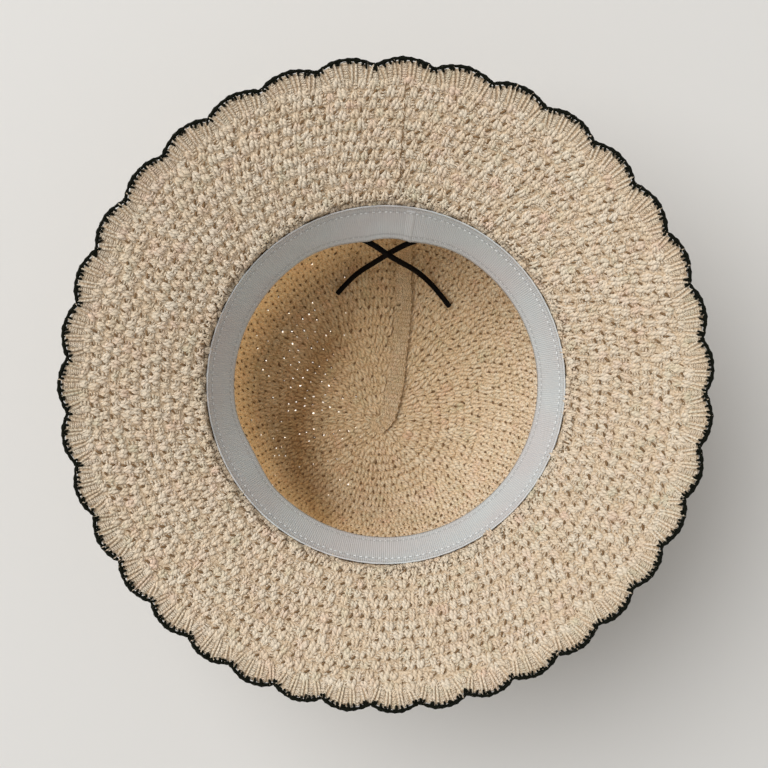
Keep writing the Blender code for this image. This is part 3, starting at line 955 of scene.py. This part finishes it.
def buildSeam():
    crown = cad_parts["crown"]
    tree = BVHTree.FromPolygons([vertex.co for vertex in crown.data.vertices],
                                [tuple(face.vertices) for face in crown.data.polygons])
    stations, columns = seam["stations"], seam["columns"]
    bm = bmesh.new()
    bmesh.ops.create_grid(bm, x_segments=columns, y_segments=stations, size=0.5)
    wander = np.convolve(dice.standard_normal(stations + 9), np.hanning(9) / 4, "valid") * seam["wander"]
    cells = {}
    bm.verts.index_update()
    for vertex in bm.verts:
        column = round((vertex.co.x + 0.5) * columns)
        share = round((vertex.co.y + 0.5) * stations) / stations
        cells[vertex.index] = (column, round(share * stations))
        ahead, inward = seamAhead(share)
        width = column / columns - 0.5
        aside = ahead.cross(inward).normalized() * (seam["width"] * width)
        if column == columns:
            aside += aside.normalized() * wander[round(share * stations)]
        centre = Vector(seamCentre(share)) + aside + inward * (hat["wall"] + seam["thickness"])
        spot, normal, _, _ = tree.find_nearest(centre)
        vertex.co = spot + normal * (hat["clearance"] + seam["slope"] * (width + 0.5))
    for _ in range(6):
        bmesh.ops.smooth_vert(bm, verts=bm.verts, factor=0.5)
    bm.normal_update()
    bm.verts.ensure_lookup_table()
    places, frames = [], []
    for vertex in bm.verts:
        column, station = cells[vertex.index]
        if station % 2 or column % 3 != (1 if station % 4 else 2) or column > columns - 1:
            continue
        ahead, inward = seamAhead(station / stations)
        normal = vertex.normal * (1 if vertex.normal.dot(inward) > 0 else -1)
        across = ahead.cross(normal).normalized()
        places.append(vertex.co + normal * seam["thickness"])
        frames.append([across, normal.cross(across), normal])
    places, frames = np.array(places), np.array(frames)
    count = len(places)
    loose = 1 + 0.15 * dice.standard_normal((3, count))
    sizes = np.array(seam["stitchSize"])[:, None] * loose
    frames = scaled(spun(frames, 0.25 * dice.standard_normal(count)), *sizes)
    scatter("seam_stitches", crownStitch, places, frames, (dice.random(count), dice.random(count)), crownFinish,
            "straw_knit")
    piece = newPiece("seam_strip", meshOf(bm, "seam_strip"), pressedKnit(), "straw_knit", "seam_allowance")
    thicken(piece, seam["thickness"], 1.0)


# The rib at the edge of the brim, in units of two raised wales and a ladder

ribbing = {
    "unitsEach": 4,  # in a scallop
    "start": 0.862,  # reach
    "end": 1.002,
    "wales": (-0.15, 0.15),  # in units
    "bars": 9,
}
waleSpine = [(0, -1, 0), (0.08, -0.8, 0.5), (0.0, 0.2, 0.65), (-0.08, 0.8, 0.65), (0, 1, 0.5)]
barSpine = [(-2.0, -0.3, 0.0), (-0.6, 0, 0.5), (0.6, 0, 0.5), (2.0, 0.3, 0.0)]


def scatterBothSides(name, shape, turn, reach, length, tints):
    for side in ("inside", "outside"):
        places, axes = framesOn(brimSkin, turn, reach)
        if side == "outside":
            axes = turnedOver(axes)
        scatter(f"{name}_{side}", shape, places, scaled(axes, 1.0, length, 1.0), tints, strawFinish, "straw_knit")


def buildRib():
    units = hat["scallops"] * ribbing["unitsEach"]
    lobes = (np.arange(units) + 0.5) / ribbing["unitsEach"]
    waleShape = stitchShape((waleSpine, 0.66), sides=6, rings=8, uneven=0.12)
    waleShape["uv"] = waleShape["uv"] * (1.0, 4.0)

    def drifts(copies):
        return np.tile(driftAlong(units, 5), copies), np.tile(driftAlong(units, 4), copies)

    turn = np.concatenate([lobeTurn(lobes + wale / ribbing["unitsEach"]) for wale in ribbing["wales"]])
    ends = [brimSkin(turn, np.full(len(turn), ribbing[end])) for end in ("start", "end")]
    reach = np.full(len(turn), (ribbing["start"] + ribbing["end"]) / 2)
    length = np.linalg.norm(ends[1] - ends[0], axis=1) / 2 * 1000 * 1.06  # the shape is 2 mm long
    scatterBothSides("brim_rib", waleShape, turn, reach, length, drifts(len(ribbing["wales"])))
    barShape = stitchShape((barSpine, 0.62), sides=5, rings=4)
    turn = np.tile(lobeTurn(lobes + 0.5 / ribbing["unitsEach"]), ribbing["bars"])
    shares = (np.arange(ribbing["bars"]) + 0.5) / ribbing["bars"]
    reach = np.repeat(ribbing["start"] + (ribbing["end"] - ribbing["start"]) * shares, units)
    scatterBothSides("brim_ladder", barShape, turn, reach, np.ones(len(turn)), drifts(ribbing["bars"]))


# Crocheted edging

edging = {
    "ropeWide": 0.0009,  # half
    "ropeHigh": 0.0014,
    "ropeOut": 0.0013,  # its middle, past the knit's edge
    "columnsEach": 24,  # in a scallop
    "teethEach": 11,
    "rough": 0.26,
    "reach": 0.999,
}
toothSpine = [(0.0, -1.9, 0.9), (0.05, -0.8, 1.55), (0.0, 0.6, 1.45), (-0.05, 1.9, 0.5)]


def loopTube(name, centres, outward, upward, wide, high, material, slot, *nodes):
    # a closed rough tube round the hat, from a grid whose columns go round it
    columns, sides = len(centres), 10
    bm = bmesh.new()
    bmesh.ops.create_grid(bm, x_segments=columns, y_segments=sides, size=0.5)
    for vertex in bm.verts:
        column = round((vertex.co.x + 0.5) * columns) % columns
        angle = tau * (round((vertex.co.y + 0.5) * sides) % sides) / sides
        swell = 1 + edging["rough"] * (math.sin(column * 1.9 + 2 * angle) + 0.6 * math.sin(column * 0.73))
        aside = outward[column] * (math.cos(angle) * wide) + upward[column] * (math.sin(angle) * high)
        vertex.co = Vector(centres[column] + aside * swell)
    bmesh.ops.remove_doubles(bm, verts=bm.verts, dist=0.000001)
    bmesh.ops.recalc_face_normals(bm, faces=bm.faces)
    return newPiece(name, meshOf(bm, name), material, slot, *nodes)


def buildEdging():
    count = hat["scallops"] * edging["columnsEach"]
    places, axes = framesOn(brimSkin, lobeTurn(np.arange(count) / edging["columnsEach"]), edging["reach"])
    ahead = unit(np.roll(places, -1, 0) - np.roll(places, 1, 0))
    outward = unit(np.cross(axes[:, 2], ahead))
    centres = places + outward * edging["ropeOut"]
    for _ in range(3):
        centres = (np.roll(centres, 1, 0) + 2 * centres + np.roll(centres, -1, 0)) / 4
    loopTube("edging_rope", centres, outward, axes[:, 2], edging["ropeWide"], edging["ropeHigh"], crochetFinish,
             "black_crochet", "edging")
    count = hat["scallops"] * edging["teethEach"]
    lobes = (np.arange(count) + 0.5 + 0.22 * dice.standard_normal(count)) / edging["teethEach"]
    places, axes = framesOn(brimSkin, lobeTurn(lobes), edging["reach"])
    none = np.full(count, 0.5)
    tooth = stitchShape((toothSpine, 0.60), sides=5, rings=4)
    for side, turned in (("inside", axes), ("outside", turnedOver(axes))):
        reach = np.clip(0.72 + 0.22 * dice.standard_normal(count), 0.45, 1.2)
        sized = scaled(spun(turned, 0.25 * dice.standard_normal(count)), 1.1, reach, 1.0)
        scatter(f"edging_teeth_{side}", tooth, places, sized, (none, none), crochetFinish, "black_crochet")


def ribbonStrip(name, turns, drops, away, thickness, closed, *nodes, finish=ribbonFinish):
    columns, rows = len(turns) - (0 if closed else 1), len(drops) - 1
    bm = bmesh.new()
    bmesh.ops.create_grid(bm, x_segments=columns, y_segments=rows, size=0.5)
    layer = bm.loops.layers.uv.new("strand")
    turnGrid, dropGrid = np.meshgrid(turns, drops, indexing="ij")
    places = ribbonSkin(turnGrid, dropGrid) - around(turnGrid, 1.0, 0.0) * away
    for face in bm.faces:
        for loop in face.loops:
            column = round((loop.vert.co.x + 0.5) * columns)
            row = round((loop.vert.co.y + 0.5) * rows)
            turn = turns[0] + column * (turns[1] - turns[0])
            loop[layer].uv = (turn * hat["headRadius"] / ribbon["ribPitch"], drops[row])
    for vertex in bm.verts:
        column = round((vertex.co.x + 0.5) * columns) % len(turns)
        row = round((vertex.co.y + 0.5) * rows)
        vertex.co = Vector(places[column, row])
    bmesh.ops.remove_doubles(bm, verts=bm.verts, dist=0.000001)
    bmesh.ops.recalc_face_normals(bm, faces=bm.faces)
    thicken(newPiece(name, meshOf(bm, name), finish, "grosgrain_ribbon", *nodes), thickness)


threadSpine = [(-1.0, 0, -0.1), (0, 0, 0.1), (1.0, 0, -0.1)]


def buildSweatband():
    turns = np.arange(360) * tau / 360
    drops = np.linspace(0, 1, 21)
    ribbonStrip("sweatband_ribbon", turns, drops, ribbon["thickness"] / 2, ribbon["thickness"], True, "sweatband")
    half = ribbon["jointWidth"] / hat["headRadius"] / 2
    jointTurns = ribbon["jointTurn"] + np.linspace(-half, half, 9)
    ribbonStrip("sweatband_lap", jointTurns, drops[3:], ribbon["thickness"] + ribbon["lap"], ribbon["lap"], False,
                "sweatband_joint", finish=foldFinish)
    thread = stitchShape((threadSpine, 0.32), sides=5, rings=4, uneven=0.05)
    count = ribbon["stitchCount"]
    names = "sweatband_sewing", "sweatband_hemming"
    for name, drop, above in zip(names, ribbon["stitchLines"], ribbon["stitchLifts"]):
        turn = (np.arange(count) + 0.06 * dice.standard_normal(count)) * tau / count
        if name == "sweatband_hemming":
            side = (turn + math.pi) % tau - math.pi
            turn = turn[(side < ribbon["exitTurns"][0]) | (side > ribbon["exitTurns"][1])]
        alongs = np.full(len(turn), drop)
        axes = turnedOver(framesOn(ribbonSkin, turn, alongs)[1], (1.0, -1.0, -1.0))
        middle = ribbonSkin(turn, alongs) - around(turn, 1.0, 0.0) * (ribbon["thickness"] + above)
        none = np.full(len(turn), 0.5)
        scatter(name, thread, middle, axes, (none, none), threadFinish, "grosgrain_ribbon")
    turns = np.arange(240) * tau / 240
    outward, upward = around(turns, 1.0, 0.0), around(turns, 0.0, 1.0)
    top = ribbonSkin(turns, np.zeros(240)) - outward * ribbon["thickness"] / 2
    join = around(turns, hat["headRadius"] + 0.0016, hat["crownDepth"])  # fills the gap where the brim starts
    loopTube("brim_join", join, outward, upward, 0.0014, 0.0011, sheetShadeFinish, "straw_knit")
    loopTube("sweatband_lip", top, outward, upward, 0.0004, 0.0005, ribbonFinish, "grosgrain_ribbon")


buildBrim()
buildRib()
buildCrown()
buildSeam()
buildEdging()
buildSweatband()
